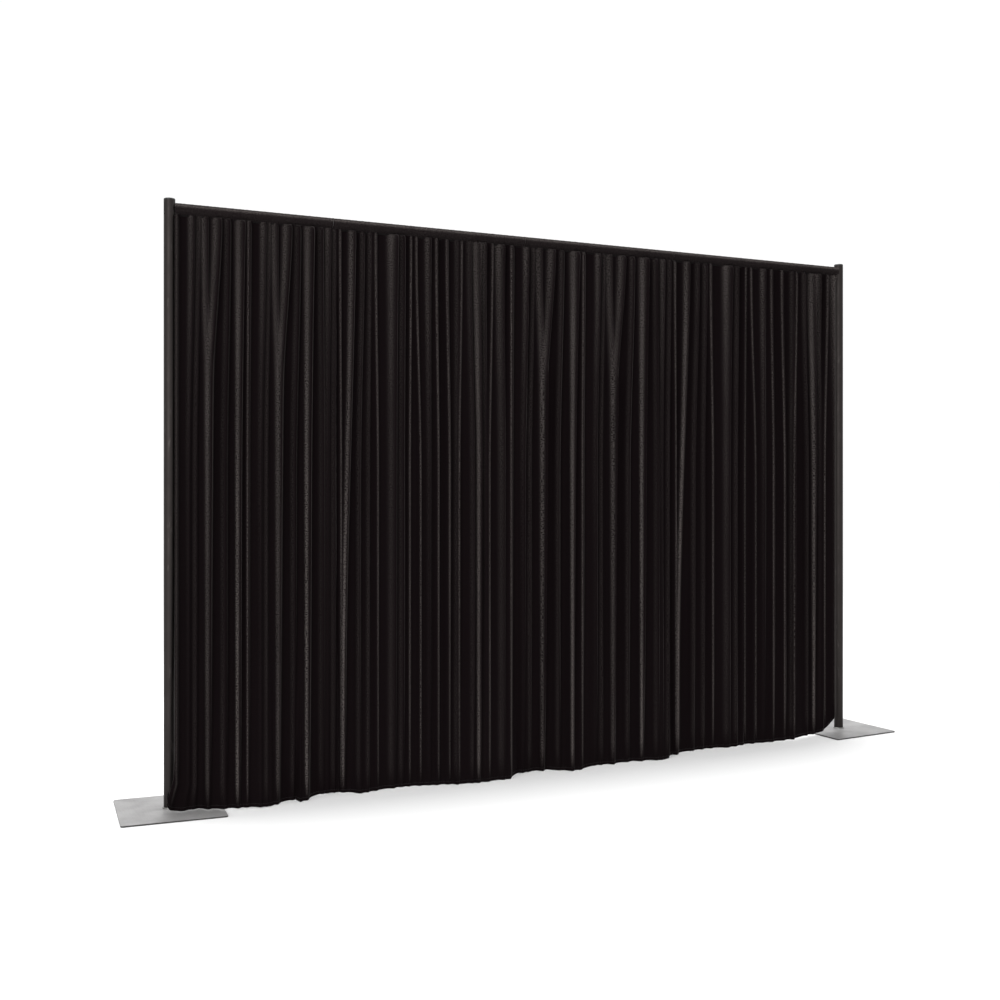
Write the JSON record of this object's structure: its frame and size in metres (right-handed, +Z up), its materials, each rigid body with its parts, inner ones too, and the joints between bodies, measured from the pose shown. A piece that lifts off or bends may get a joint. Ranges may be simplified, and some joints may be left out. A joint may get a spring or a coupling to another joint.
{
  "type": "pipe and drape backdrop",
  "caption": "Free-standing backdrop: gathered velour panels on a telescopic crossbar that hooks into slotted uprights on flat base plates.",
  "frame": {"origin": "on the floor, at the middle of the overall box", "axes": "+X along the crossbar towards its inner tube, -Y towards the front of the cloth, +Z up"},
  "size_m": [3.4248, 0.3838, 2.1509],
  "materials": {
    "dark_tube": "satin",
    "black_plastic": "fine matte",
    "plate_steel": "polished",
    "pin_steel": "turned",
    "bolt_steel": "plain",
    "bar_aluminium": "drawn",
    "hook_casting": "plated casting",
    "velour": "short pile"
  },
  "bodies": {
    "left_frame": {"left_upright_tube": "dark_tube", "left_top_cap": "black_plastic", "left_hook": "hook_casting", "left_hook_pin": "bolt_steel", "crossbar_outer_tube": "bar_aluminium", "crossbar_mouth_bushing": "black_plastic"},
    "right_frame": {"right_upright_tube": "dark_tube", "right_top_cap": "black_plastic", "right_hook": "hook_casting", "right_hook_pin": "bolt_steel", "crossbar_inner_tube": "bar_aluminium", "crossbar_slider_bushing": "black_plastic"},
    "left_base": {"left_base_plate": "plate_steel", "left_base_pin": "pin_steel", "left_pin_bolt": "bolt_steel"},
    "right_base": {"right_base_plate": "plate_steel", "right_base_pin": "pin_steel", "right_pin_bolt": "bolt_steel"},
    "panel_1": {"drape_panel_1": "velour"},
    "panel_2": {"drape_panel_2": "velour"},
    "panel_3": {"drape_panel_3": "velour"},
    "panel_4": {"drape_panel_4": "velour"}
  },
  "joints": [
    {"name": "crossbar_telescope", "type": "slide", "parent": "left_frame", "child": "right_frame", "axis": [1, 0, 0], "range_m": [-1.219, 0]},
    {"name": "left_base_swivel", "type": "hinge", "parent": "left_frame", "child": "left_base", "pos_m": [-1.52056, 0, 0], "axis": [0, 0, 1], "continuous": true},
    {"name": "right_base_swivel", "type": "hinge", "parent": "right_frame", "child": "right_base", "pos_m": [1.52744, 0, 0], "axis": [0, 0, 1], "continuous": true},
    {"name": "panel_1_gather", "type": "slide", "parent": "left_frame", "child": "panel_1", "axis": [1, 0, 0], "range_m": [-0.117, 0], "deforming": ["drape_panel_1"]},
    {"name": "panel_2_gather", "type": "slide", "parent": "left_frame", "child": "panel_2", "axis": [1, 0, 0], "range_m": [-0.397, 0], "deforming": ["drape_panel_2"]},
    {"name": "panel_3_gather", "type": "slide", "parent": "left_frame", "child": "panel_3", "axis": [1, 0, 0], "range_m": [-0.708, 0], "deforming": ["drape_panel_3"]},
    {"name": "panel_4_gather", "type": "slide", "parent": "left_frame", "child": "panel_4", "axis": [1, 0, 0], "range_m": [-1.037, 0], "deforming": ["drape_panel_4"]}
  ],
  "couplings": [
    {"joint": "panel_1_gather", "follows": "crossbar_telescope", "ratio": 0.095},
    {"joint": "panel_2_gather", "follows": "crossbar_telescope", "ratio": 0.325},
    {"joint": "panel_3_gather", "follows": "crossbar_telescope", "ratio": 0.58},
    {"joint": "panel_4_gather", "follows": "crossbar_telescope", "ratio": 0.85}
  ]
}
